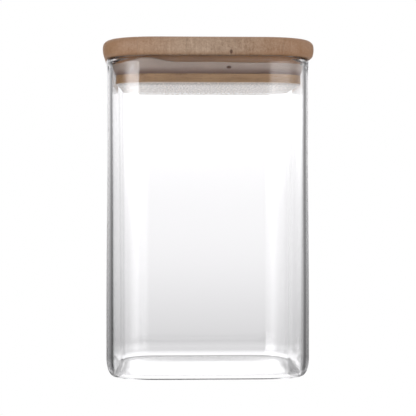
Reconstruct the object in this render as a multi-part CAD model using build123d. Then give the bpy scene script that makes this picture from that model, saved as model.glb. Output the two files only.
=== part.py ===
from build123d import *
import os

# Square glass storage canister with a lift-off wooden lid and a silicone seal ring.
#
# Millimetres. The origin is the centre of the footprint, on the surface that the canister
# stands on, and +Z is up. The lid lifts off along +Z.
#
# Every piece is a square with round corners, seen from above, and all of them share the same
# four upright corner axes. So each piece is one upright profile carried round those axes: its
# r is the distance outwards from a corner axis, and its flat sides stand CORNER_AXIS + r from
# the middle.

CORNER_AXIS = 25.0  # from each middle plane to the corner axes

# Glass body: blown, with walls that grow thicker towards the base
GLASS_HEIGHT = 158.2
MOUTH_HALF = 50.4  # half the outer width along the upper body
BELLY_HALF = 51.05  # half the outer width near the base
BELLY_TOP = 35.0  # height where the belly starts to lean in
BELLY_END = 95.0  # height where the upper body is straight again
MOUTH_WALL = 1.9
BELLY_WALL = 2.9
RIM_FLARE = 0.45  # how far the fire-polished rim stands out of the wall
RIM_FLARE_LENGTH = 6.0
BASE_FILLET = 5.0
FLOOR_FILLET = 4.0
FLOOR_HEIGHT = 2.4
FOOT_WIDTH = 3.0  # flat ring that the glass stands on
PUSH_UP = 0.6  # how far the base inside that ring stands off the table
PUSH_UP_RUN = 2.0

# Lid: a top board over a plug, each glued up from staves, their grain crossed
SEAT_GAP = 0.15  # between the glass rim and the underside of the top board
BOARD_HALF = 53.2
BOARD_THICKNESS = 8.95
BOARD_CROWN = 1.1  # how far the edge's widest line, at half height, stands out of its ends
BOARD_TOP_ROUND = 2.4
BOARD_BOTTOM_ROUND = 1.2
PLUG_HALF = 46.5
PLUG_HEIGHT = 13.15
PLUG_EDGE_ROUND = 0.8
STAVE_WIDTH = 23.6
TOP_STAVES = 5
PLUG_STAVES = 4

# Groove round the plug, and the seal ring in it
GROOVE_LAND = 4.4  # wood below the groove
GROOVE_HEIGHT = 5.6
GROOVE_DEPTH = 2.5
SEAL_SIDE_GAP = 0.1  # above and below the seal in its groove
SEAL_BASE_THICKNESS = 1.8
LIP_GAP = 0.25  # between the lip's edge and the glass
LIP_THICKNESS = 0.8
LIP_ROOT_HEIGHT = 1.6  # the lip leaves the seal's base below this height
LIP_ROOT_PROUD = 0.15  # how far the lip's foot stands out of the plug's side

# Places that follow from those sizes
BOARD_BOTTOM = GLASS_HEIGHT + SEAT_GAP
BOARD_TOP = BOARD_BOTTOM + BOARD_THICKNESS
PLUG_BOTTOM = BOARD_BOTTOM - PLUG_HEIGHT
GROOVE_BOTTOM = PLUG_BOTTOM + GROOVE_LAND
GROOVE_TOP = GROOVE_BOTTOM + GROOVE_HEIGHT


def outwards(half_width):
    """A half width as a distance r from the corner axis."""
    return half_width - CORNER_AXIS


def upright(*edges):
    """A closed profile face in the XZ plane, where x is r, from edges drawn in x and z."""
    return Plane.XZ * make_face(Wire(edges))


def carried_round(profile):
    """The solid that a profile sweeps along the rounded square: four corners and four sides."""
    whole = None
    for quarter in range(4):
        turned = Rot(0, 0, 90 * quarter)
        corner_axis = Axis((0, 0, 0), (0, 0, 1))
        corner = Pos(CORNER_AXIS, CORNER_AXIS, 0) * revolve(profile, corner_axis, 90)
        side_start = Pos(CORNER_AXIS, -CORNER_AXIS, 0) * profile
        side = extrude(side_start, amount=2 * CORNER_AXIS, dir=(0, 1, 0))
        piece = turned * (corner + side)
        whole = piece if whole is None else whole + piece
    return whole


def slab(low, high):
    """The square block between the corner axes, from one height to another."""
    side = 2 * CORNER_AXIS
    return Pos(0, 0, (low + high) / 2) * Box(side, side, high - low)


def glass_jar():
    """Body of the canister: base with a push-up, rounded foot, leaning wall, round rim."""
    mouth_out = outwards(MOUTH_HALF)
    mouth_in = mouth_out - MOUTH_WALL
    belly_out = outwards(BELLY_HALF)
    belly_in = belly_out - BELLY_WALL
    rim_out = mouth_out + RIM_FLARE
    rim_radius = (rim_out - mouth_in) / 2
    rim_start = GLASS_HEIGHT - rim_radius
    foot_out = belly_out - BASE_FILLET
    foot_in = foot_out - FOOT_WIDTH
    floor_out = belly_in - FLOOR_FILLET
    bend = 0.5 ** 0.5

    outline = [
        Line((0, PUSH_UP), (foot_in - PUSH_UP_RUN, PUSH_UP)),
        Line((foot_in - PUSH_UP_RUN, PUSH_UP), (foot_in, 0)),
        Line((foot_in, 0), (foot_out, 0)),
        ThreePointArc(
            (foot_out, 0),
            (foot_out + BASE_FILLET * bend, BASE_FILLET * (1 - bend)),
            (belly_out, BASE_FILLET),
        ),
        Line((belly_out, BASE_FILLET), (belly_out, BELLY_TOP)),
        Line((belly_out, BELLY_TOP), (mouth_out, BELLY_END)),
        Line((mouth_out, BELLY_END), (mouth_out, rim_start - RIM_FLARE_LENGTH)),
        Line((mouth_out, rim_start - RIM_FLARE_LENGTH), (rim_out, rim_start)),
        ThreePointArc(
            (rim_out, rim_start),
            (rim_out - rim_radius, GLASS_HEIGHT),
            (mouth_in, rim_start),
        ),
        Line((mouth_in, rim_start), (mouth_in, BELLY_END)),
        Line((mouth_in, BELLY_END), (belly_in, BELLY_TOP)),
        Line((belly_in, BELLY_TOP), (belly_in, FLOOR_HEIGHT + FLOOR_FILLET)),
        ThreePointArc(
            (belly_in, FLOOR_HEIGHT + FLOOR_FILLET),
            (floor_out + FLOOR_FILLET * bend, FLOOR_HEIGHT + FLOOR_FILLET * (1 - bend)),
            (floor_out, FLOOR_HEIGHT),
        ),
        Line((floor_out, FLOOR_HEIGHT), (0, FLOOR_HEIGHT)),
        Line((0, FLOOR_HEIGHT), (0, PUSH_UP)),
    ]
    return carried_round(upright(*outline)) + slab(PUSH_UP, FLOOR_HEIGHT)


def lid_board():
    """Whole top board, before it is split into staves: flat faces and a crowned edge."""
    widest = outwards(BOARD_HALF)
    edge = widest - BOARD_CROWN
    middle = (BOARD_BOTTOM + BOARD_TOP) / 2
    outline = make_face(
        Wire(
            [
                Line((0, BOARD_BOTTOM), (edge, BOARD_BOTTOM)),
                ThreePointArc((edge, BOARD_BOTTOM), (widest, middle), (edge, BOARD_TOP)),
                Line((edge, BOARD_TOP), (0, BOARD_TOP)),
                Line((0, BOARD_TOP), (0, BOARD_BOTTOM)),
            ]
        )
    )
    outer = outline.vertices().filter_by(lambda v: v.X > 1)
    outline = fillet(outer.sort_by(Axis.Y)[-1], BOARD_TOP_ROUND)
    outer = outline.vertices().filter_by(lambda v: v.X > 1 and v.Y < BOARD_BOTTOM + 0.01)
    outline = fillet(outer.sort_by(Axis.X)[-1], BOARD_BOTTOM_ROUND)
    return carried_round(Plane.XZ * outline) + slab(BOARD_BOTTOM, BOARD_TOP)


def lid_plug():
    """Whole plug, before it is split into staves, with the seal's groove round its side."""
    side = outwards(PLUG_HALF)
    groove = side - GROOVE_DEPTH
    outline = make_face(
        Polyline(
            (0, PLUG_BOTTOM),
            (side, PLUG_BOTTOM),
            (side, GROOVE_BOTTOM),
            (groove, GROOVE_BOTTOM),
            (groove, GROOVE_TOP),
            (side, GROOVE_TOP),
            (side, BOARD_BOTTOM),
            (0, BOARD_BOTTOM),
            close=True,
        )
    )
    lower = outline.vertices().filter_by(lambda v: v.X > 1).sort_by(Axis.Y)[0]
    outline = fillet(lower, PLUG_EDGE_ROUND)
    return carried_round(Plane.XZ * outline) + slab(PLUG_BOTTOM, BOARD_BOTTOM)


def seal_ring():
    """Silicone ring: a band that sits in the groove and a lip that flares up to the glass."""
    back = outwards(PLUG_HALF) - GROOVE_DEPTH
    foot = outwards(PLUG_HALF) + LIP_ROOT_PROUD
    edge = outwards(MOUTH_HALF) - MOUTH_WALL - LIP_GAP
    low = GROOVE_BOTTOM + SEAL_SIDE_GAP
    high = GROOVE_TOP - SEAL_SIDE_GAP
    front = back + SEAL_BASE_THICKNESS
    outline = [
        (back, low),
        (foot, low),
        (edge, high),
        (edge - LIP_THICKNESS, high),
        (front + LIP_ROOT_PROUD, low + LIP_ROOT_HEIGHT),
        (front, high),
        (back, high),
    ]
    return carried_round(Plane.XZ * make_face(Polyline(*outline, close=True)))


def staves(board, count, along):
    """A board split into count staves that run along X or Y, the outer ones cut by its edge."""
    reach = 2 * BOARD_HALF + STAVE_WIDTH
    pieces = []
    for number in range(count):
        low = (number - count / 2) * STAVE_WIDTH
        high = low + STAVE_WIDTH
        if number == 0:
            low = -reach
        if number == count - 1:
            high = reach
        middle, width = (low + high) / 2, high - low
        if along == "y":
            cutter = Pos(middle, 0, BOARD_BOTTOM) * Box(width, 2 * reach, BOARD_TOP)
        else:
            cutter = Pos(0, middle, BOARD_BOTTOM) * Box(2 * reach, width, BOARD_TOP)
        pieces.append(board & cutter)
    return pieces


os.makedirs("parts", exist_ok=True)
nodes = {"glass_jar": glass_jar(), "seal_ring": seal_ring()}
for number, piece in enumerate(staves(lid_board(), TOP_STAVES, "y"), start=1):
    nodes[f"top_stave_{number}"] = piece
for number, piece in enumerate(staves(lid_plug(), PLUG_STAVES, "x"), start=1):
    nodes[f"plug_stave_{number}"] = piece
for name, shape in nodes.items():
    export_step(shape, f"parts/{name}.step")
    solids = shape.solids()
    print(name, "solids", len(solids), "volume", round(sum(s.volume for s in solids)))
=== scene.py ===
"""Square glass storage canister: blown glass jar, cross-grained wooden lid and silicone seal."""

import math

import bpy
import numpy as np
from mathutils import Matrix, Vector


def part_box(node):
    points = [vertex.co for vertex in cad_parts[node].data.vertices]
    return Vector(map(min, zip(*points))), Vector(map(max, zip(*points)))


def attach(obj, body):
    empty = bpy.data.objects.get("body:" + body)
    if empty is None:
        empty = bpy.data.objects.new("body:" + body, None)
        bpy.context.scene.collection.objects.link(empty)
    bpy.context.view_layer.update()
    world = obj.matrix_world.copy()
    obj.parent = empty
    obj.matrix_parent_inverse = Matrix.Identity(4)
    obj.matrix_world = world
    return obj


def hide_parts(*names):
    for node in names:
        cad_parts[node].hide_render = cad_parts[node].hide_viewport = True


bl_info = {
    "name": "Square Glass Canister",
    "version": (1, 0, 0),
    "blender": (4, 5, 0),
    "location": "3D View > Sidebar > Canister",
    "description": "Builds a square glass canister with a wooden lid and a silicone seal",
    "category": "Add Mesh",
}

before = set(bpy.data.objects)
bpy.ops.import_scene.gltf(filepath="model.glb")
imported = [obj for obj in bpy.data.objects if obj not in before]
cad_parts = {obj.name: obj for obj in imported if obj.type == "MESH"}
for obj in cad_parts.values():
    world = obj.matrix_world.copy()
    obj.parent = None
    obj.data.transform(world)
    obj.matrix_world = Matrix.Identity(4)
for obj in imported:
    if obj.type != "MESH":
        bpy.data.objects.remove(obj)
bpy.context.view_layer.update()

MM = 0.001

# Places in the frame, in metres, and the staves' nodes in it
JAR_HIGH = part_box("glass_jar")[1]
SEAL_LOW, SEAL_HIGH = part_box("seal_ring")
BOARD_LOW, BOARD_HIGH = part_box("top_stave_3")
BOARD_SIDE_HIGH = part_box("top_stave_5")[1]
PLUG_LOW, PLUG_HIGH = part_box("plug_stave_2")
TOP_STAVES = [f"top_stave_{n}" for n in range(1, 6)]
PLUG_STAVES = [f"plug_stave_{n}" for n in range(1, 5)]

# Jar, in mm
STANDING_RING = 3.0  # width of the flat ring that the jar stands on
PUSH_UP_RUN = 2.0  # width over which the base rises inside that ring
BELLY_SPAN = (30, 120)  # heights between which the wall comes in from belly to mouth
WALL_SPAN = (15, 150)  # heights between which the wall thins towards the mouth
FLARE_SPAN = (6, 1.6)  # depths below the top between which the rim swells out
INNER_LEAN = 0.9  # how much of the foot's lean the inside follows
INNER_LEAN_DELAY = 1.0  # how far below the foot's top the inside starts to lean

# Lid, in mm
LID_SEAT = 0.25  # how far the lid sits to the right in the jar's mouth
WIDEST_DEPTH = 4.2  # depth of the board's widest line below its top
BOARD_EDGE_SHADE = 2.0  # depth of the painted shade along the board's edges
GROOVE_DEPTH = 2.5
GROOVE_GAP = 0.1  # above and below the seal
PLUG_ROUND = 0.4  # radius along the plug's lower edge
PLUG_TRIM = 0.02  # how far the plug's side stays inside its full width
PLUG_EDGE_SHADE = 0.8  # depth of the painted shade along the plug's edges
PLUG_FIRST_STAVE = 11  # number that picks the first plug stave's grain
STAVE_POINTS = 72  # along each curved part of a stave's outline
STAVE_RUNGS = 24  # along each glued side of it

# Seal, in mm
SEAL_INSET = 0.15  # how far the lip's foot lies inside the plug's side
SEAL_DEPTH = 2.8  # how far the seal's back lies inside the plug's side
SEAL_BAND = 1.8  # thickness of the band in the groove
SEAL_FOOT_ROUND = 0.35
SEAL_TIP_ROUND = 0.15
LIP_ROOT = 1.6  # height above the seal's foot where lip and band part
LIP_ROOT_GAP = 0.15  # width of the gap there, whose bottom slopes up twice as far to the band
LIP_BULGE = 0.3  # how far the lip bows outwards
BAND_SPAN = (2.0, 4.0)  # depths inside the jar's side between which the seal follows the plug


def from_srgb(red, green, blue):
    """A linear colour with alpha 1 from display values of 0 to 255."""
    share = np.array([red, green, blue]) / 255
    linear = np.where(share <= 0.04045, share / 12.92, ((share + 0.055) / 1.055) ** 2.4)
    return (*linear.tolist(), 1.0)


# ---------------------------------------------------------------------------------------------
# Surfaces
# ---------------------------------------------------------------------------------------------

PLAN_HALF = 50.4  # half width, in mm, at which the plan below is drawn
PLAN_STRAIGHT = 0.28  # share of a quarter's length, at each end, that has no bend
PLAN_SOFTNESS = 0.2  # 0 bends evenly, 1 lets the bend rise from nothing


def plan_of_canister():
    """Plan of the canister seen from above, in mm, and its outward normals.

    The heading turns by a quarter over each corner. Its rate of turn is one minus PLAN_SOFTNESS
    times a cosine, so that the corner eases into the side, and the points are the running sum
    of the heading, scaled to PLAN_HALF. The quarter is sampled more closely where it bends.
    """
    steps = 6000
    fine = (np.arange(steps) + 0.5) / steps
    bend = np.clip((fine - PLAN_STRAIGHT) / (1 - 2 * PLAN_STRAIGHT), 0, 1)
    swing = PLAN_SOFTNESS * np.sin(2 * np.pi * bend) / (2 * np.pi)
    heading = np.pi / 2 * (bend - swing)
    along = np.concatenate([[0], np.cumsum(-np.sin(heading))])
    across = np.concatenate([[0], np.cumsum(np.cos(heading))])
    scale = PLAN_HALF / across[-1]
    x = PLAN_HALF + along * scale
    y = across * scale
    ends = np.linspace(0, PLAN_STRAIGHT, 7)[:-1]
    middle = np.linspace(PLAN_STRAIGHT, 1 - PLAN_STRAIGHT, 41)
    stops = np.concatenate([ends, middle, 1 - ends[:0:-1]])
    at = np.linspace(0, 1, steps + 1)
    x, y = np.interp(stops, at, x), np.interp(stops, at, y)
    turn = np.interp(stops, fine, heading)
    quarters, normals = [], []
    for corner in range(4):
        c, s = round(math.cos(corner * math.pi / 2)), round(math.sin(corner * math.pi / 2))
        quarters.append(np.stack([c * x - s * y, s * x + c * y], 1))
        normal = turn + corner * np.pi / 2
        normals.append(np.stack([np.cos(normal), np.sin(normal)], 1))
    return np.concatenate(quarters), np.concatenate(normals)


PLAN, PLAN_NORMAL = plan_of_canister()
PLAN_ANGLE = np.arctan2(PLAN[:, 1], PLAN[:, 0])


def ring_at(half, height, share=1.0):
    """Ring of points in mm: the plan carried out along its normals to a half width, shrunk
    towards the middle by share, at a height that is one number or one for each point."""
    flat = (PLAN + (half - PLAN_HALF) * PLAN_NORMAL) * share
    return np.column_stack([flat, np.broadcast_to(height, len(flat))])


def arc(centre, radius, start, stop, steps):
    """Points on a circle from one angle to another, in degrees, as two arrays."""
    turn = np.radians(np.linspace(start, stop, steps))
    return centre[0] + radius * np.cos(turn), centre[1] + radius * np.sin(turn)


def ring_quads(count, size, loops=False):
    """Quads between neighbouring rings of points that each close on themselves. With loops the
    last ring joins the first one."""
    ring = np.arange(count if loops else count - 1)[:, None]
    step = np.arange(size)[None, :]
    here, after = ring * size, (ring + 1) % count * size
    beyond = (step + 1) % size
    corners = (here + step, here + beyond, after + beyond, after + step)
    return np.stack(corners, -1).reshape(-1, 4)


def closed_mesh(name, rings, loops=False, poles=None, sharp=None):
    """Closed mesh from an array of rings, count by points by 3, in mm.

    The rings are joined by quads. With poles a point at each end closes the first and the last
    ring with a fan.
    """
    count, size = rings.shape[:2]
    points = rings.reshape(-1, 3)
    quads = ring_quads(count, size, loops)
    fans = np.zeros((0, 3), int)
    if poles is not None:
        points = np.concatenate([points, np.asarray(poles, float)])
        around = np.arange(size)
        beyond = (around + 1) % size
        first_pole = np.full(size, count * size)
        last_ring = (count - 1) * size
        first = np.stack([first_pole, beyond, around], -1)
        last = np.stack([first_pole + 1, last_ring + around, last_ring + beyond], -1)
        fans = np.concatenate([first, last])
    return mesh_of(name, points, [quads, fans], sharp)


def mesh_of(name, points, groups, sharp=None):
    """Mesh in metres from points in mm and arrays of faces. The sign of the volume decides
    which way round the faces go, so that they point outwards."""
    triangles = np.concatenate(
        [group[:, [0, k, k + 1]] for group in groups for k in range(1, group.shape[1] - 1)]
    )
    a, b, c = (points[triangles[:, k]] for k in range(3))
    if np.einsum("ij,ij->i", a, np.cross(b, c)).sum() < 0:
        groups = [group[:, ::-1] for group in groups]
    loops = np.concatenate([group.reshape(-1) for group in groups])
    sizes = np.concatenate([np.full(len(group), group.shape[1]) for group in groups])
    mesh = bpy.data.meshes.new(name)
    mesh.vertices.add(len(points))
    mesh.vertices.foreach_set("co", (points * MM).astype(np.float32).ravel())
    mesh.loops.add(len(loops))
    mesh.loops.foreach_set("vertex_index", loops.astype(np.int32))
    mesh.polygons.add(len(sizes))
    starts = np.concatenate([[0], np.cumsum(sizes)[:-1]])
    mesh.polygons.foreach_set("loop_start", starts.astype(np.int32))
    mesh.update(calc_edges=True)
    mesh.validate()
    mesh.polygons.foreach_set("use_smooth", np.ones(len(mesh.polygons), bool))
    if sharp is not None:
        mesh.set_sharp_from_angle(angle=math.radians(sharp))
    return mesh


def place(name, mesh, material, body, slot, *nodes):
    """Object at the origin for a finished mesh, riding on a body in place of CAD nodes."""
    made = bpy.data.objects.new(name, mesh)
    bpy.context.scene.collection.objects.link(made)
    mesh.materials.append(material)
    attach(made, body)
    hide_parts(*nodes)


def stored(mesh, name, values):
    """Keeps one number for each point of the mesh as an attribute that a material can read."""
    kept = mesh.attributes.new(name, "FLOAT", "POINT")
    kept.data.foreach_set("value", np.broadcast_to(values, len(mesh.vertices)).astype(np.float32))


# ---------------------------------------------------------------------------------------------
# Materials
# ---------------------------------------------------------------------------------------------


class Graph:
    """Places nodes in a tree and joins them."""

    def __init__(self, tree):
        self.tree = tree

    def node(self, kind, inputs=None, **settings):
        """New node with its settings, and its inputs given as values or joined to sockets."""
        made = self.tree.nodes.new(kind)
        for key, value in settings.items():
            setattr(made, key, value)
        for key, value in (inputs or {}).items():
            self.feed(made.inputs[key], value)
        return made

    def feed(self, socket, value):
        if isinstance(value, bpy.types.NodeSocket):
            self.tree.links.new(value, socket)
        else:
            socket.default_value = value

    def math(self, operation, *values, clamp=False):
        made = self.node("ShaderNodeMath", operation=operation, use_clamp=clamp)
        for number, value in enumerate(values):
            self.feed(made.inputs[number], value)
        return made.outputs[0]

    def vector(self, operation, *values):
        made = self.node("ShaderNodeVectorMath", operation=operation)
        for number, value in enumerate(values):
            self.feed(made.inputs[number], value)
        return made.outputs[0]

    def scaled(self, vector, *scales):
        """The vector, with X, Y and Z multiplied by the scales."""
        return self.vector("MULTIPLY", vector, scales)

    def split(self, vector):
        """Outputs X, Y and Z of a vector."""
        return self.node("ShaderNodeSeparateXYZ", {0: vector}).outputs

    def attribute(self, name):
        """A number that the mesh keeps for each point."""
        return self.node("ShaderNodeAttribute", attribute_name=name).outputs["Fac"]

    def ramped(self, value, low, high, to_low=0.0, to_high=1.0):
        """The value carried from one range to another, eased at both ends and clamped."""
        inputs = {0: value, 1: low, 2: high, 3: to_low, 4: to_high}
        return self.node("ShaderNodeMapRange", inputs, interpolation_type="SMOOTHSTEP").outputs[0]

    def colours(self, share, first, second):
        """The first colour, turning into the second as share goes from 0 to 1."""
        inputs = {0: share, 6: first, 7: second}
        return self.node("ShaderNodeMix", inputs, data_type="RGBA").outputs[2]

    def noise(self, vector, scale, detail=2.0, rough=0.5, output=0):
        """Cloud from 0 to 1, or its three different channels as output 1."""
        inputs = {"Vector": vector, "Scale": scale, "Detail": detail, "Roughness": rough}
        return self.node("ShaderNodeTexNoise", inputs).outputs[output]

    def cells(self, vector, scale):
        """Distance from the middle of the nearest cell, in cells."""
        inputs = {"Vector": vector, "Scale": scale}
        return self.node("ShaderNodeTexVoronoi", inputs).outputs["Distance"]


def new_group(name, inputs, outputs):
    """Shader node group with the named sockets: inputs to values, outputs to kinds."""
    group = bpy.data.node_groups.new(name, "ShaderNodeTree")
    for key, value in inputs.items():
        kind = "NodeSocketVector" if isinstance(value, tuple) else "NodeSocketFloat"
        socket = group.interface.new_socket(key, in_out="INPUT", socket_type=kind)
        socket.default_value = value
    for key, kind in outputs.items():
        group.interface.new_socket(key, in_out="OUTPUT", socket_type=kind)
    graph = Graph(group)
    return group, graph, graph.node("NodeGroupInput").outputs, graph.node("NodeGroupOutput").inputs


def new_material(name):
    """Empty material and its graph, with the Principled shader joined to the output."""
    material = bpy.data.materials.new(name)
    material.use_nodes = True
    graph = Graph(material.node_tree)
    graph.tree.nodes.clear()
    shader = graph.node("ShaderNodeBsdfPrincipled")
    output = graph.node("ShaderNodeOutputMaterial")
    graph.feed(output.inputs["Surface"], shader.outputs[0])
    return material, graph, shader


def spot(g, at, centre, size):
    """Soft ellipse on the front of the lid, from 1 in its middle to 0 at its rim: centre and
    half widths are given across X and up Z in metres."""
    across = g.math("DIVIDE", g.math("SUBTRACT", at["X"], centre[0]), size[0])
    up = g.math("DIVIDE", g.math("SUBTRACT", at["Z"], centre[1]), size[1])
    reach = g.math("ADD", g.math("POWER", across, 2.0), g.math("POWER", up, 2.0))
    front = g.math("LESS_THAN", at["Y"], 0.0)
    return g.math("MULTIPLY", g.ramped(reach, 0.2, 1.0, 1.0, 0.0), front)


LID_HEIGHT = 160.0  # in mm, from which the depth of the pith is measured


def wood_grain_group():
    """Beech whose grain runs along Y, in mm. Growth rings are shells round a pith line that
    lies below each stave; fibres are noise drawn out along Y; flecks are the short dark
    spindles of the rays, cells drawn out along Y; mottle is broad soft cloud; rays are the
    upright streaks that the end grain shows."""
    if "Beech grain" in bpy.data.node_groups:
        return bpy.data.node_groups["Beech grain"]
    inputs = {"Vector": (0.0, 0.0, 0.0), "Stave": 0.0, "Ring Spacing": 2.4, "Pith Depth": 60.0}
    outputs = dict.fromkeys(["Rings", "Fibre", "Fleck", "Mottle", "Rays"], "NodeSocketFloat")
    group, g, given, out = new_group("Beech grain", inputs, outputs)

    # Each stave is cut from another part of the trunk
    place_mm = g.scaled(given["Vector"], 1 / MM, 1 / MM, 1 / MM)
    dice = g.node("ShaderNodeTexWhiteNoise", {"W": given["Stave"]}, noise_dimensions="1D")
    reach, start = (70.0, 300.0, 40.0), (-35.0, 0.0, -20.0)
    thrown = g.vector("MULTIPLY_ADD", dice.outputs["Color"], reach, start)
    moved = g.vector("ADD", place_mm, thrown)

    warp = g.noise(g.scaled(moved, 0.05, 0.008, 0.05), 1.0, 2.0, output=1)
    warped = g.split(g.vector("MULTIPLY_ADD", warp, (9.0, 0.0, 9.0), moved))
    above_pith = g.math("SUBTRACT", warped["Z"], LID_HEIGHT)
    above_pith = g.math("ADD", above_pith, given["Pith Depth"])
    square = g.math("ADD", g.math("POWER", warped["X"], 2.0), g.math("POWER", above_pith, 2.0))
    phase = g.math("FRACT", g.math("DIVIDE", g.math("SQRT", square), given["Ring Spacing"]))
    late = g.math("MULTIPLY", g.ramped(phase, 0.25, 0.9), g.ramped(phase, 0.9, 1.0, 1.0, 0.0))
    g.feed(out["Rings"], late)

    # The scales are waves or cells per mm across the grain, along it and up
    streaks = g.noise(g.scaled(moved, 1.1, 0.06, 1.1), 1.0, 2.0, 0.5)
    hairs = g.noise(g.scaled(moved, 4.5, 0.2, 4.5), 1.0, 2.0, 0.6)
    g.feed(out["Fibre"], g.math("MULTIPLY_ADD", hairs, 0.4, g.math("MULTIPLY", streaks, 0.6)))
    spindles = g.cells(g.scaled(moved, 1.0, 0.32, 1.0), 1.0)
    g.feed(out["Fleck"], g.ramped(spindles, 0.12, 0.3, 1.0, 0.0))
    g.feed(out["Mottle"], g.noise(g.scaled(moved, 0.12, 0.03, 0.12), 1.0, 4.0, 0.6))
    g.feed(out["Rays"], g.noise(g.scaled(moved, 0.9, 0.05, 0.11), 1.0, 3.0, 0.6))
    return group


# How much each mask of the grain darkens the wood, and the level that this starts from
TONE_START = -1.32
TONE_WEIGHTS = {"Fibre": 1.5, "Rings": 0.07, "Mottle": 1.1, "Rays": 0.9}

# How much darker each stave is, from left to right and from front to back
BOARD_LOTS = (0.08, 0.02, 0.0, 0.16, 0.2)
PLUG_LOTS = (0.0, 0.06, 0.02, 0.08)

# Marks on the front: across X and up Z from the origin, and half widths, all in metres
KNOT, KNOT_SIZE = (0.0103, BOARD_LOW.z + 0.0015), (0.0009, 0.0013)
STAIN, STAIN_SIZE = (0.0094, SEAL_LOW.z + 0.0030), (0.0015, 0.0009)
# painted glints: a patch of small white specks on the seal's front left
GLINT_SPOTS, GLINT_SPOTS_SIZE = (-0.0374, SEAL_LOW.z + 0.0030), (0.0018, 0.0030)


def grained_wood(g, where, s, pale, dark):
    """Colour, fibre and fleck of the wood at a place whose Y runs along the grain. Each stave's
    own numbers move its pattern and shift its tone."""
    grain = g.node("ShaderNodeGroup", node_tree=wood_grain_group())
    inputs = {"Vector": where, "Stave": g.attribute("stave"), "Ring Spacing": s.ring_spacing}
    for key, value in inputs.items():
        g.feed(grain.inputs[key], value)
    tone = TONE_START
    for mask, weight in TONE_WEIGHTS.items():
        tone = g.math("MULTIPLY_ADD", grain.outputs[mask], weight, tone)
    tone = g.math("ADD", g.attribute("lot"), tone, clamp=True)
    fleck = g.math("MULTIPLY", grain.outputs["Fleck"], 0.35)
    base = g.colours(fleck, g.colours(tone, tuple(pale), tuple(dark)), tuple(s.fleck_colour))
    # painted shade along the stave's upper and lower edges
    edge_shade = g.math("MULTIPLY", g.attribute("edge"), 0.4)
    return g.colours(edge_shade, base, tuple(s.edge_shade_colour)), grain.outputs["Fibre"], fleck


def finish_wood(g, shader, base, fibre, fleck, depth):
    """Joins the colour to the shader, and lifts fibres and sinks flecks by a depth in metres."""
    g.feed(shader.inputs["Base Color"], base)
    g.feed(shader.inputs["Roughness"], g.math("MULTIPLY_ADD", fibre, 0.2, 0.4))
    lift = g.math("MULTIPLY_ADD", fleck, -0.8, fibre)
    bump = g.node("ShaderNodeBump", {"Height": lift, "Strength": 0.3, "Distance": depth})
    g.feed(shader.inputs["Normal"], bump.outputs[0])


def board_material(s):
    """Oiled beech with its grain along Y, darker towards both sides, with a pin knot."""
    material, g, shader = new_material("Board beech")
    where = g.node("ShaderNodeTexCoord").outputs["Object"]
    base, fibre, fleck = grained_wood(g, where, s, s.board_pale, s.board_dark)
    at = g.split(where)
    # darker towards both sides, mixed towards the same colour as the painted edge shade
    aside = g.ramped(g.math("ABSOLUTE", at["X"]), 0.004, 0.053, 0.0, 0.6)
    base = g.colours(aside, base, tuple(s.edge_shade_colour))
    knot = g.math("MULTIPLY", spot(g, at, KNOT, KNOT_SIZE), 0.9)
    base = g.colours(knot, base, tuple(s.knot_colour))
    finish_wood(g, shader, base, fibre, fleck, 0.0001)
    return material


def plug_material(s):
    """Oiled beech with its grain along X, with painted shade above the seal, under the board. The
    underside is pale sanded wood with a painted sheen of the bright backdrop, polished, and its
    pores break the polish."""
    material, g, shader = new_material("Plug beech")
    where = g.node("ShaderNodeTexCoord").outputs["Object"]
    turned = {"Vector": where, "Rotation": (0.0, 0.0, math.pi / 2)}
    where = g.node("ShaderNodeMapping", turned).outputs[0]
    base, fibre, fleck = grained_wood(g, where, s, s.plug_pale, s.plug_dark)
    height = g.split(where)["Z"]
    # underside: pale sanded wood with a painted sheen of the bright backdrop, under a real polish
    # coat
    under = g.ramped(height, PLUG_LOW.z + 0.0001, PLUG_LOW.z + 0.0004, 1.0, 0.0)
    base = g.colours(g.math("MULTIPLY", under, 0.8), base, tuple(s.sanded_and_sheen_colour))
    # painted shade: the plug above the seal, under the board's overhang, turns darker and redder
    neck_shade = g.ramped(height, SEAL_HIGH.z - 0.0003, SEAL_HIGH.z + 0.0003, 0.0, 0.6)
    base = g.colours(neck_shade, base, tuple(s.neck_shade_colour))
    pores = g.noise(g.scaled(where, 160.0, 1000.0, 1000.0), 1.0, 2.0, 0.6)
    polish = g.math("MULTIPLY", under, g.ramped(pores, 0.38, 0.5, 0.5, 1.0))
    g.feed(shader.inputs["Coat Weight"], polish)
    shader.inputs["Coat Roughness"].default_value = 0.06
    finish_wood(g, shader, base, fibre, fleck, 0.00003)
    return material


# ---------------------------------------------------------------------------------------------
# Sizes and colours that a user would change
# ---------------------------------------------------------------------------------------------


def length(name, text, value):
    """A length in metres, given here in mm."""
    return bpy.props.FloatProperty(
        name=name, description=text, default=value * MM, unit="LENGTH", precision=5
    )


def colour(name, text, value):
    """A linear colour with alpha."""
    return bpy.props.FloatVectorProperty(
        name=name, description=text, default=value, subtype="COLOR", size=4, min=0, max=1
    )


def number(name, text, value):
    """A plain number."""
    return bpy.props.FloatProperty(name=name, description=text, default=value)


class CanisterGlass(bpy.types.PropertyGroup):
    """Blown glass jar."""

    belly: length("Belly", "How far the wall stands out near the base", 0.55)
    mouth_wall: length("Mouth wall", "Wall thickness at the mouth", 2.1)
    belly_wall: length("Belly wall", "Wall thickness near the base", 2.9)
    rim_flare: length("Rim flare", "How far the round rim stands out of the wall", 0.45)
    foot_width: length("Foot width", "How far the wall rounds in towards the base", 3.4)
    foot_height: length("Foot height", "Height where the wall starts to round in", 9.0)
    floor_round: length("Floor round", "Radius between wall and floor", 0.9)
    floor: length("Floor", "Height of the floor inside, at its edge", 1.3)
    floor_dish: length("Floor dish", "How far the floor's middle lies below its edge", 0.1)
    push_up: length("Push-up", "How far the base stands off the table inside its ring", 0.5)
    bend: number("Index of refraction", "How strongly the glass bends light", 1.47)
    tint: colour("Tint", "Colour of light passed by one surface", (0.992, 0.993, 0.994, 1.0))


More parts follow.
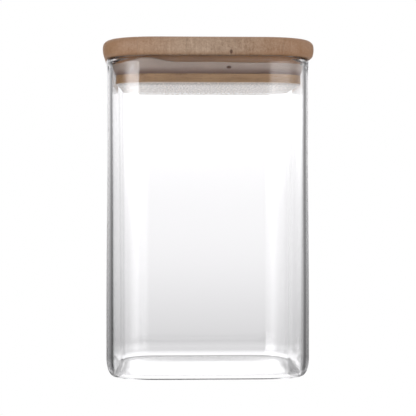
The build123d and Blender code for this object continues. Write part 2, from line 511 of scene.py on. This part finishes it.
class CanisterWood(bpy.types.PropertyGroup):
    """Beech staves of the lid."""

    shift: length("Seat", "How far the lid sits to the right in the jar's mouth", LID_SEAT)
    clear: length("Trim", "How far the board's side stays inside its full width", 0.3)
    top_round: length("Top round", "Radius along the board's upper edge", 2.4)
    bottom_round: length("Bottom round", "Radius along the board's lower edge", 1.6)
    crown: length("Crown", "How far the board's side swells between its edges", 1.0)
    joint: length("Joint", "Hairline between two staves", 0.06)
    ring_spacing: number("Ring spacing", "Distance between growth rings in mm", 2.4)
    board_pale: colour("Board, pale", "Early wood of the board", from_srgb(184, 160, 137))
    board_dark: colour("Board, dark", "Late wood of the board", from_srgb(124, 98, 74))
    plug_pale: colour("Plug, pale", "Early wood of the plug", from_srgb(202, 164, 120))
    plug_dark: colour("Plug, dark", "Late wood of the plug", from_srgb(152, 110, 70))
    # partly the pale sanded wood, partly a painted sheen of the bright backdrop
    sanded_and_sheen_colour: colour("Sanded face and sheen", "Underside of the plug", from_srgb(250, 232, 214))
    # painted shade on the plug above the seal, under the board
    neck_shade_colour: colour("Neck", "Plug above the seal", from_srgb(168, 114, 72))
    knot_colour: colour("Knot", "Pin knot on the front", from_srgb(74, 44, 26))
    fleck_colour: colour("Flecks", "Ray flecks", from_srgb(112, 80, 60))
    # painted shade along the staves' upper and lower edges; the board also turns to it towards
    # both sides
    edge_shade_colour: colour("Shaded edges", "Painted shade along the edges", from_srgb(154, 108, 68))


class CanisterSeal(bpy.types.PropertyGroup):
    """Silicone seal ring."""

    lip: length("Lip thickness", "Thickness of the flared lip", 0.8)
    wave: length("Wave", "How far the lip's edge rises where it has ridden up", 1.3)
    shift: length("Seat", "How far the band sits to the right with the plug", LID_SEAT)
    body: colour("Silicone", "Colour of the silicone", from_srgb(190, 171, 158))
    # painted shade towards the seal's foot, browned by the wood behind the lip
    foot: colour("Silicone foot", "Painted shade at the foot, browned by the wood behind", from_srgb(136, 106, 94))
    stain: colour("Stain", "Resin spot on the front", from_srgb(92, 54, 30))


class CanisterStudio(bpy.types.PropertyGroup):
    """Camera and light."""

    distance: length("Camera distance", "From the canister's middle", 760.0)
    height: length("Camera height", "Above the table", 91.3)
    lens: number("Lens", "Focal length in mm on a 36 mm sensor", 126.4)
    tilt: number("Tilt", "Degrees that the camera looks down", 0.587)
    turn: number("Turn", "Degrees that the camera stands round to the left", 2.3)
    aside: length("Aside", "How far to the right of the canister's middle it looks", 1.12)


# ---------------------------------------------------------------------------------------------
# Pieces
# ---------------------------------------------------------------------------------------------


def eased(value, low, high):
    """0 below low, 1 above high, and the cubic 3t^2 - 2t^3 between them."""
    share = np.clip((value - low) / (high - low), 0, 1)
    return share * share * (3 - 2 * share)


def glass_rings(s):
    """The jar's closed profile, carried round the plan as one surface, and its two poles.

    Outside: base with a push-up, flat ring, quarter-ellipse foot, wall whose half width eases
    out by the belly towards the base, and a rim that swells before its half circle. Inside: the
    same wall less its thickness, leaning in over the foot as a quarter-ellipse too, then a
    quarter-circle down to a floor that dips slightly towards its middle.
    """
    top = JAR_HIGH.z / MM
    half = PLAN_HALF
    belly, flare = s.belly / MM, s.rim_flare / MM
    foot, foot_top, fillet = s.foot_width / MM, s.foot_height / MM, s.floor_round / MM
    floor, dish, push = s.floor / MM, s.floor_dish / MM, s.push_up / MM
    wall_low, wall_high = s.belly_wall / MM, s.mouth_wall / MM
    flare_low, flare_high = (top - depth for depth in FLARE_SPAN)

    def upright(z):
        return half + belly * (1 - eased(z, *BELLY_SPAN))

    def outer(z):
        return upright(z) + flare * eased(z, flare_low, flare_high)

    def inner(z):
        thick = wall_high + (wall_low - wall_high) * (1 - eased(z, *WALL_SPAN))
        drop = min(z / (foot_top - INNER_LEAN_DELAY), 1.0)
        lean = foot * (1 - math.sqrt(1 - (1 - drop) ** 2))
        return upright(z) - thick - INNER_LEAN * lean

    rim = (flare + wall_high) / 2
    foot_out = half + belly
    ring_out = foot_out - foot
    ring_in = ring_out - STANDING_RING
    base_edge = ring_in - PUSH_UP_RUN
    rings = []
    for share in np.linspace(0.06, 1, 14):
        rings.append(ring_at(base_edge, push, share))
    for step in np.linspace(0, 1, 7)[1:]:
        rings.append(ring_at(base_edge + PUSH_UP_RUN * step, push * (1 - eased(step, 0, 1))))
    for step in np.linspace(0, 1, 5)[1:-1]:
        rings.append(ring_at(ring_in + STANDING_RING * step, 0.0))
    for turn in np.radians(np.linspace(-90, 0, 24)):
        z = foot_top + foot_top * math.sin(turn)
        rings.append(ring_at(ring_out + foot * math.cos(turn), z))
    for z in np.linspace(foot_top, top - rim, 70)[1:]:
        rings.append(ring_at(outer(z), z))
    centre = (half + flare - rim, top - rim)
    for x, z in zip(*arc(centre, rim, 0, 180, 15)):
        rings.append(ring_at(x, z))
    for z in np.linspace(top - rim, floor + fillet, 70)[1:]:
        rings.append(ring_at(inner(z), z))
    corner = (inner(floor + fillet) - fillet, floor + fillet)
    for x, z in list(zip(*arc(corner, fillet, 0, -90, 16)))[1:]:
        rings.append(ring_at(x, z))
    for share in np.linspace(1, 0.04, 24)[1:]:
        rings.append(ring_at(corner[0], floor - dish * eased(1 - share, 0.0, 0.6), share))
    return np.array(rings), [(0, 0, push), (0, 0, floor - dish)]


def glass_material(s):
    """Clear glass: a smooth dielectric with a faint tint."""
    material, _, shader = new_material("Clear glass")
    shader.inputs["Base Color"].default_value = tuple(s.tint)
    shader.inputs["Roughness"].default_value = 0.0
    shader.inputs["IOR"].default_value = s.bend
    shader.inputs["Transmission Weight"].default_value = 1.0
    return material


def board_side(s, low, high):
    """Inset and height of the board's side from its flat top to its flat underside, in mm.

    The inset is the sum of a parabola about the widest line and of the two edge rounds.
    """
    top_round, bottom_round, crown = s.top_round / MM, s.bottom_round / MM, s.crown / MM
    upper = high - top_round * (1 - np.cos(np.radians(np.linspace(0, 90, 12))))
    lower = low + bottom_round * (1 - np.cos(np.radians(np.linspace(90, 0, 9))))
    middle = np.linspace(high - top_round, low + bottom_round, 9)[1:-1]
    z = np.concatenate([upper, middle, lower])
    widest = high - WIDEST_DEPTH
    span = np.where(z > widest, high - widest, widest - low)
    inset = crown * ((z - widest) / span) ** 2
    into_top = np.clip(z - (high - top_round), 0, top_round)
    into_bottom = np.clip(low + bottom_round - z, 0, bottom_round)
    inset += top_round - np.sqrt(top_round**2 - into_top**2)
    inset += bottom_round - np.sqrt(bottom_round**2 - into_bottom**2)
    return inset, z


def plug_side(low, high, seal_low, seal_high):
    """Inset and height of the plug's side from its top to its underside, with the groove."""
    groove_low, groove_high = seal_low - GROOVE_GAP, seal_high + GROOVE_GAP
    inset = [0.0, 0.0, GROOVE_DEPTH, GROOVE_DEPTH, 0.0]
    z = [high, groove_high, groove_high, groove_low, groove_low]
    round_x, round_z = arc((PLUG_ROUND, low + PLUG_ROUND), PLUG_ROUND, 180, 270, 7)
    return np.concatenate([inset, round_x]), np.concatenate([z, round_z])


def strip_outline(half, low, high):
    """Outline of the part of the plan that lies between two lines across X, in order round it.

    An inner strip has a front arc, a straight side, a back arc and a straight side. A strip at
    the end has one arc that goes round the plan's side, closed by a straight side.
    """
    flat = PLAN + (half - PLAN_HALF) * PLAN_NORMAL
    closed = np.concatenate([flat, flat, flat[:1]])
    turn = np.unwrap(np.arctan2(closed[:, 1], closed[:, 0]))

    def crossing(line, front):
        """Angle at which the front or the back of the plan crosses a line across X."""
        middle = 1.5 * np.pi if front else 2.5 * np.pi
        near = np.abs(turn - middle) < np.pi * 0.4
        x = closed[near, 0]
        order = np.argsort(x)
        return np.interp(line, x[order], turn[near][order])

    def arc_between(start, stop):
        at = np.linspace(start, stop, STAVE_POINTS)
        return np.stack([np.interp(at, turn, closed[:, k]) for k in range(2)], 1)

    inside_low, inside_high = abs(low) < half - 1, abs(high) < half - 1
    rise = np.linspace(0, 1, STAVE_RUNGS + 2)[1:-1, None]
    if inside_low and inside_high:
        front = arc_between(crossing(low, True), crossing(high, True))
        back = arc_between(crossing(high, False), crossing(low, False))
        right_side = front[-1] + (back[0] - front[-1]) * rise
        left_side = back[-1] + (front[0] - back[-1]) * rise
        return np.concatenate([front, right_side, back, left_side])
    if inside_low:
        outer = arc_between(crossing(low, True), crossing(low, False))
    else:
        outer = arc_between(crossing(high, False), crossing(high, True) + 2 * np.pi)
    side = outer[-1] + (outer[0] - outer[-1]) * rise
    return np.concatenate([outer, side])


def stave_mesh(name, half, insets, heights, strip, along_x, shift, key):
    """One stave: the strip's outline at each inset of the board's side, stacked by height, and
    moved across X by the lid's seat."""
    rings = []
    for inset, z in zip(insets, heights):
        outline = strip_outline(half - inset, *strip)
        if along_x:
            outline = outline[:, ::-1]
        outline = outline + (shift, 0)
        rings.append(np.column_stack([outline, np.full(len(outline), z)]))
    count, size = len(rings), len(rings[0])
    points = np.concatenate(rings)
    top = np.arange(size)[None, ::-1]
    bottom = (count - 1) * size + np.arange(size)[None, :]
    mesh = mesh_of(name, points, [ring_quads(count, size), top, bottom], sharp=32)
    stored(mesh, "stave", key)
    return mesh, points


def joint_lines(box, axis, joint, number, count):
    """Where a stave starts and stops across the board, in mm, half a joint short at each glue
    line. The board's own side is left far out, because its outline ends it."""
    start, stop = (corner[axis] / MM for corner in box)
    start = start + joint / 2 if number > 0 else -PLAN_HALF * 2
    stop = stop - joint / 2 if number < count - 1 else PLAN_HALF * 2
    return start, stop


def stave_edges(points, low, high, depth):
    """How near each point is to the board's upper or lower edge: 1 there, 0 beyond a depth."""
    upper = 1 - np.clip((high - points[:, 2]) / depth, 0, 1)
    lower = 1 - np.clip((points[:, 2] - low) / depth, 0, 1)
    return np.maximum(upper, lower)


def lip_rise(wave):
    """How far the lip's edge rises round the plan, in mm: a soft hump near the front left
    corner, where it has ridden up on insertion, and a slight dip and rise elsewhere."""
    hump = np.exp(-(((PLAN_ANGLE + math.radians(122)) / math.radians(9)) ** 2))
    ripple = 0.12 * np.sin(3 * PLAN_ANGLE + 0.6) + 0.08 * np.sin(7 * PLAN_ANGLE)
    return wave * hump + ripple - 0.1


def seal_rings(s):
    """The seal's closed profile carried round the plan: a flat band, and a lip that leaves its
    foot and flares up to the glass. Only the band moves across with the plug; the lip stays
    centred in the mouth."""
    low, high = SEAL_LOW.z / MM, SEAL_HIGH.z / MM
    edge, lip = SEAL_HIGH.x / MM, s.lip / MM
    foot = PLUG_HIGH.x / MM - SEAL_INSET
    back = PLUG_HIGH.x / MM - SEAL_DEPTH
    front = back + SEAL_BAND
    rise = lip_rise(s.wave / MM)
    rings = [ring_at(back, low), ring_at(foot - 0.5, low)]
    centre = (foot - SEAL_FOOT_ROUND, low + SEAL_FOOT_ROUND)
    for x, z in zip(*arc(centre, SEAL_FOOT_ROUND, -80, 0, 5)):
        rings.append(ring_at(x, z))
    lip_end = high - SEAL_TIP_ROUND
    for share in np.linspace(0, 1, 12)[1:]:
        bulge = LIP_BULGE * math.sin(math.pi * share)
        z = centre[1] + (lip_end - centre[1]) * share
        rings.append(ring_at(foot + (edge - foot) * share + bulge, z + rise * share**2))
    for turn in np.radians(np.linspace(30, 150, 5)):
        x = edge - lip / 2 + lip / 2 * math.cos(turn)
        rings.append(ring_at(x, lip_end + SEAL_TIP_ROUND * math.sin(turn) + rise))
    root = front + LIP_ROOT_GAP
    for share in np.linspace(1, 0, 9):
        bulge = LIP_BULGE * math.sin(math.pi * share)
        z = low + LIP_ROOT + (lip_end - low - LIP_ROOT) * share
        inner = root + (edge - lip - root) * share
        rings.append(ring_at(inner + bulge, z + rise * share**2))
    rings.append(ring_at(front, low + LIP_ROOT + 2 * LIP_ROOT_GAP))
    rings.append(ring_at(front, high))
    rings.append(ring_at(back, high))
    rings = np.array(rings)
    depth = PLAN_HALF - np.linalg.norm(rings[:, :1, :2], axis=2)
    in_band = eased(depth, *BAND_SPAN)
    rings[:, :, 0] += s.shift / MM * in_band
    return rings


def seal_material(s):
    """Milky silicone: light scatters a little way into it, and its skin is a soft satin. It
    darkens towards its foot as painted shade, browned where wood shows through, and carries a few
    small white specks painted as glints."""
    material, g, shader = new_material("Silicone")
    where = g.node("ShaderNodeTexCoord").outputs["Object"]
    at = g.split(where)
    cloud = g.noise(where, 180.0, 3.0)
    deep = tuple(0.9 * part for part in s.body[:3]) + (1.0,)
    base = g.colours(g.ramped(cloud, 0.3, 0.7), deep, tuple(s.body))
    # painted shade: the seal darkens and browns towards its foot
    foot_shade = g.ramped(g.attribute("down"), 0.35, 1.0, 0.0, 0.95)
    base = g.colours(foot_shade, base, tuple(s.foot))
    base = g.colours(spot(g, at, STAIN, STAIN_SIZE), base, tuple(s.stain))
    # painted glints: small white specks in a patch on the seal
    glints = g.ramped(g.cells(where, 900.0), 0.15, 0.4, 1.0, 0.0)
    glints = g.math("MULTIPLY", glints, spot(g, at, GLINT_SPOTS, GLINT_SPOTS_SIZE))
    base = g.colours(glints, base, (1.0, 1.0, 1.0, 1.0))
    g.feed(shader.inputs["Base Color"], base)
    g.feed(shader.inputs["Roughness"], g.ramped(cloud, 0.3, 0.7, 0.38, 0.5))
    shader.inputs["IOR"].default_value = 1.41
    shader.inputs["Subsurface Weight"].default_value = 0.5
    shader.inputs["Subsurface Radius"].default_value = (1.0, 0.8, 0.7)
    shader.inputs["Subsurface Scale"].default_value = 0.002
    dust = g.noise(where, 2400.0, 2.0)
    bump = g.node("ShaderNodeBump", {"Height": dust, "Strength": 0.15, "Distance": 0.00005})
    g.feed(shader.inputs["Normal"], bump.outputs[0])
    return material


class CANISTER_OT_glass_jar(bpy.types.Operator):
    """Make the blown glass jar"""

    bl_idname = "canister.glass_jar"
    bl_label = "Glass Jar"

    def execute(self, context):
        s = context.scene.canister_glass
        rings, poles = glass_rings(s)
        mesh = closed_mesh("blown_jar", rings, poles=poles)
        place("blown_jar", mesh, glass_material(s), "jar", "clear_glass", "glass_jar")
        return {"FINISHED"}


class CANISTER_OT_lid_board(bpy.types.Operator):
    """Make the staves of the lid's top board, their grain from front to back"""

    bl_idname = "canister.lid_board"
    bl_label = "Lid Board"

    def execute(self, context):
        s = context.scene.canister_wood
        low, high = BOARD_LOW.z / MM, BOARD_HIGH.z / MM
        half = (BOARD_SIDE_HIGH.x - s.clear) / MM
        shift = s.shift / MM
        insets, heights = board_side(s, low, high)
        material = board_material(s)
        for number, node in enumerate(TOP_STAVES):
            strip = joint_lines(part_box(node), 0, s.joint / MM, number, len(TOP_STAVES))
            mesh, points = stave_mesh(
                f"board_stave_{number + 1}", half, insets, heights, strip, False, shift, number + 1
            )
            # edge: mask of the painted shade along the board's edges
            stored(mesh, "edge", stave_edges(points, low, high, BOARD_EDGE_SHADE))
            stored(mesh, "lot", BOARD_LOTS[number])
            place(mesh.name, mesh, material, "lid", "board_wood", node)
        return {"FINISHED"}


class CANISTER_OT_lid_plug(bpy.types.Operator):
    """Make the staves of the plug under the board, their grain from left to right"""

    bl_idname = "canister.lid_plug"
    bl_label = "Lid Plug"

    def execute(self, context):
        s = context.scene.canister_wood
        low, high = PLUG_LOW.z / MM, PLUG_HIGH.z / MM
        half = PLUG_HIGH.x / MM - PLUG_TRIM
        shift = s.shift / MM
        insets, heights = plug_side(low, high, SEAL_LOW.z / MM, SEAL_HIGH.z / MM)
        material = plug_material(s)
        for number, node in enumerate(PLUG_STAVES):
            strip = joint_lines(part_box(node), 1, s.joint / MM, number, len(PLUG_STAVES))
            mesh, points = stave_mesh(
                f"plug_board_{number + 1}",
                half,
                insets,
                heights,
                strip,
                True,
                shift,
                number + PLUG_FIRST_STAVE,
            )
            # edge: mask of the painted shade along the plug's edges
            stored(mesh, "edge", stave_edges(points, low, high, PLUG_EDGE_SHADE))
            stored(mesh, "lot", PLUG_LOTS[number])
            place(mesh.name, mesh, material, "lid", "plug_wood", node)
        return {"FINISHED"}


class CANISTER_OT_seal_ring(bpy.types.Operator):
    """Make the silicone seal with its flared lip"""

    bl_idname = "canister.seal_ring"
    bl_label = "Seal Ring"

    def execute(self, context):
        s = context.scene.canister_seal
        rings = seal_rings(s)
        mesh = closed_mesh("silicone_seal", rings, loops=True, sharp=50)
        low, high = SEAL_LOW.z / MM, SEAL_HIGH.z / MM
        stored(mesh, "down", np.clip((high - rings[:, :, 2].ravel()) / (high - low), 0, 1))
        place("silicone_seal", mesh, seal_material(s), "lid", "silicone", "seal_ring")
        return {"FINISHED"}


# Brightness of the panel behind the canister, by degrees round from straight behind it, where
# less than 0 is to the left
PANEL_STOPS = (
    (-180, 0.0),
    (-120, 0.0),
    (-98, 0.06),
    (-50, 0.05),
    (-43, 0.2),
    (-38, 0.32),
    (-29, 0.45),
    (-23, 0.9),
    (-18, 1.0),
    (14, 1.0),
    (21, 0.6),
    (28, 0.3),
    (34, 0.1),
    (42, 0.25),
    (50, 0.75),
    (58, 0.9),
    (80, 0.7),
    (98, 0.3),
    (120, 0.0),
    (180, 0.0),
)

# Softboxes in front of the canister: the degrees round over which each comes up at its inner
# edge and fades at its outer edge, and how bright it is at its foot and above the horizon
SOFTBOXES = (
    ((-146.2, -143.7), (-127.0, -95.0), (0.95, 5.4)),
    ((163.0, 150.0), (125.0, 85.0), (1.35, 2.2)),
)
CEILING_LIGHT = 0.9
TABLE_LIGHT = 0.8
ROOM_TINT = (1.0, 0.992, 1.006, 1.0)

# Stage, in mm
FLOOR_HALF = 2500.0
FLOOR_DROP = 0.5  # below the jar's foot
CARD_INSET = 5.5  # how far the card under the jar stays inside the jar's side
CARD_DROP = 0.2  # below the jar's foot
CARD_LIGHT = 1.15


def panel_light(g, azimuth):
    """Brightness of the panel behind the canister at each azimuth."""
    panel = g.node("ShaderNodeValToRGB")
    ramp = panel.color_ramp
    for angle, _ in PANEL_STOPS[1:-1]:
        ramp.elements.new((angle + 180) / 360)
    for element, (angle, light) in zip(ramp.elements, PANEL_STOPS):
        element.position = (angle + 180) / 360
        element.color = (light, light, light, 1)
    g.feed(panel.inputs[0], g.math("MULTIPLY_ADD", azimuth, 1 / 360, 0.5))
    return g.node("ShaderNodeSeparateColor", {0: panel.outputs[0]}).outputs[0]


def room_light(g, azimuth, rise):
    """Brightness of the room in a direction, whose azimuth and rise are in degrees."""
    away = g.math("ABSOLUTE", azimuth)
    far_table = g.ramped(rise, -9.0, -1.5, 0.43, 0.98)
    above_table = g.ramped(rise, -2.5, 4.0, 0.0, 0.24)
    dimmed = g.math("MULTIPLY", g.ramped(away, 3.0, 9.0), g.ramped(rise, 2.0, -3.0))
    share = g.math("ADD", far_table, above_table)
    share = g.math("MULTIPLY", share, g.math("MULTIPLY_ADD", dimmed, -0.1, 1.0))
    front = g.math("MULTIPLY", g.ramped(away, 70.0, 135.0), g.ramped(rise, -7.0, 5.0, 1.0, 0.35))
    light = g.math("MULTIPLY_ADD", panel_light(g, azimuth), share, front)
    ceiling, table = g.ramped(rise, 25.0, 60.0), g.ramped(rise, -11.0, -24.0)
    for level, reach in ((CEILING_LIGHT, ceiling), (TABLE_LIGHT, table)):
        light = g.math("MULTIPLY_ADD", g.math("SUBTRACT", level, light), reach, light)

    foot, head = g.ramped(rise, -11.0, -7.0), g.ramped(rise, 16.0, 24.0, 1.0, 0.0)
    for inner_edge, outer_edge, power in SOFTBOXES:
        within = g.ramped(azimuth, *outer_edge, 1.0, 0.0)
        within = g.math("MULTIPLY", g.ramped(azimuth, *inner_edge), within)
        inside = g.math("MULTIPLY", within, g.math("MULTIPLY", foot, head))
        light = g.math("MULTIPLY_ADD", inside, g.ramped(rise, -2.0, 4.5, *power), light)
    return light


def studio_world(turn):
    """White room. What the camera sees directly is plain white. Light and reflections come from
    a white panel behind the canister that falls off to the sides and, below the horizon,
    towards the table, from a white ceiling and table, and from a tall softbox to each side in
    front. The room is turned by the given degrees with the camera."""
    world = bpy.data.worlds.new("Studio")
    world.use_nodes = True
    g = Graph(world.node_tree)
    g.tree.nodes.clear()
    where = g.node("ShaderNodeTexCoord").outputs["Generated"]
    room = {"Vector": where, "Rotation": (0.0, 0.0, math.radians(turn))}
    toward = g.split(g.node("ShaderNodeMapping", room, vector_type="POINT").outputs[0])
    azimuth = g.math("MULTIPLY", g.math("ARCTAN2", toward["X"], toward["Y"]), 180 / math.pi)
    rise = g.math("MULTIPLY", g.math("ARCSINE", toward["Z"]), 180 / math.pi)
    light = room_light(g, azimuth, rise)
    shown = g.node("ShaderNodeLightPath").outputs["Is Camera Ray"]
    room = g.node("ShaderNodeBackground", {"Color": ROOM_TINT, "Strength": light})
    plain = g.node("ShaderNodeBackground", {"Color": (1, 1, 1, 1)})
    mixed = g.node("ShaderNodeMixShader", {0: shown, 1: room.outputs[0], 2: plain.outputs[0]})
    output = g.node("ShaderNodeOutputWorld")
    g.feed(output.inputs["Surface"], mixed.outputs[0])
    bpy.context.scene.world = world


def glowing(name, strength):
    """Plain white surface that gives its own light upwards and is clear from below."""
    material = bpy.data.materials.new(name)
    material.use_nodes = True
    g = Graph(material.node_tree)
    g.tree.nodes.clear()
    glow = g.node("ShaderNodeEmission", {"Color": (1, 1, 1, 1), "Strength": strength})
    clear = g.node("ShaderNodeBsdfTransparent")
    below = g.node("ShaderNodeNewGeometry").outputs["Backfacing"]
    mixed = g.node("ShaderNodeMixShader", {0: below, 1: glow.outputs[0], 2: clear.outputs[0]})
    output = g.node("ShaderNodeOutputMaterial")
    g.feed(output.inputs["Surface"], mixed.outputs[0])
    return material


def sheet(name, outline, z, material):
    """Flat stage sheet that faces up, from points across X and Y and a height, in mm."""
    mesh = bpy.data.meshes.new(name)
    points = np.column_stack([outline, np.full(len(outline), z)]) * MM
    mesh.from_pydata(points.tolist(), [], [list(range(len(points)))])
    mesh.materials.append(material)
    made = bpy.data.objects.new(name, mesh)
    bpy.context.scene.collection.objects.link(made)
    made.visible_diffuse = False
    made.visible_shadow = False
    return made


class CANISTER_OT_stage(bpy.types.Operator):
    """Set up the floor, the studio light and the camera"""

    bl_idname = "canister.stage"
    bl_label = "Stage"

    def execute(self, context):
        s = context.scene.canister_studio
        scene = context.scene
        scene.view_settings.view_transform = "Standard"
        scene.view_settings.look = "None"
        studio_world(s.turn)

        corners = np.array([(-1, -1), (1, -1), (1, 1), (-1, 1)])
        floor = sheet("floor", corners * FLOOR_HALF, -FLOOR_DROP, glowing("White table", 1.0))
        floor.visible_glossy = False
        floor.visible_transmission = False
        outline = ring_at(JAR_HIGH.x / MM - CARD_INSET, 0.0)[:, :2]
        sheet("card", outline, -CARD_DROP, glowing("White card", CARD_LIGHT))

        eye = bpy.data.cameras.new("camera")
        eye.sensor_width = 36.0
        eye.lens = s.lens
        eye.clip_start, eye.clip_end = 0.01, 100.0
        camera = bpy.data.objects.new("camera", eye)
        scene.collection.objects.link(camera)
        turn = math.radians(s.turn)
        camera.location = (
            s.aside * math.cos(turn) - s.distance * math.sin(turn),
            -s.aside * math.sin(turn) - s.distance * math.cos(turn),
            s.height,
        )
        camera.rotation_euler = (math.radians(90 - s.tilt), 0, -turn)
        scene.camera = camera
        return {"FINISHED"}


class CANISTER_PT_sidebar(bpy.types.Panel):
    """Lists the canister's pieces and their sizes"""

    bl_idname = "CANISTER_PT_sidebar"
    bl_label = "Glass Canister"
    bl_space_type = "VIEW_3D"
    bl_region_type = "UI"
    bl_category = "Canister"

    def draw(self, context):
        layout = self.layout
        for operator in OPERATORS:
            layout.operator(operator.bl_idname)
        for key in GROUPS:
            box = layout.box()
            values = getattr(context.scene, key)
            for name in values.bl_rna.properties.keys():
                if name not in {"rna_type", "name"}:
                    box.prop(values, name)


GROUPS = {
    "canister_glass": CanisterGlass,
    "canister_wood": CanisterWood,
    "canister_seal": CanisterSeal,
    "canister_studio": CanisterStudio,
}
OPERATORS = (
    CANISTER_OT_glass_jar,
    CANISTER_OT_lid_board,
    CANISTER_OT_lid_plug,
    CANISTER_OT_seal_ring,
    CANISTER_OT_stage,
)


def register():
    for kind in (*GROUPS.values(), *OPERATORS, CANISTER_PT_sidebar):
        bpy.utils.register_class(kind)
    for key, kind in GROUPS.items():
        setattr(bpy.types.Scene, key, bpy.props.PointerProperty(type=kind))


def unregister():
    for key in GROUPS:
        delattr(bpy.types.Scene, key)
    for kind in reversed((*GROUPS.values(), *OPERATORS, CANISTER_PT_sidebar)):
        bpy.utils.unregister_class(kind)


def main():
    register()
    bpy.ops.canister.glass_jar()
    bpy.ops.canister.lid_board()
    bpy.ops.canister.lid_plug()
    bpy.ops.canister.seal_ring()
    bpy.ops.canister.stage()


if __name__ == "__main__":
    main()
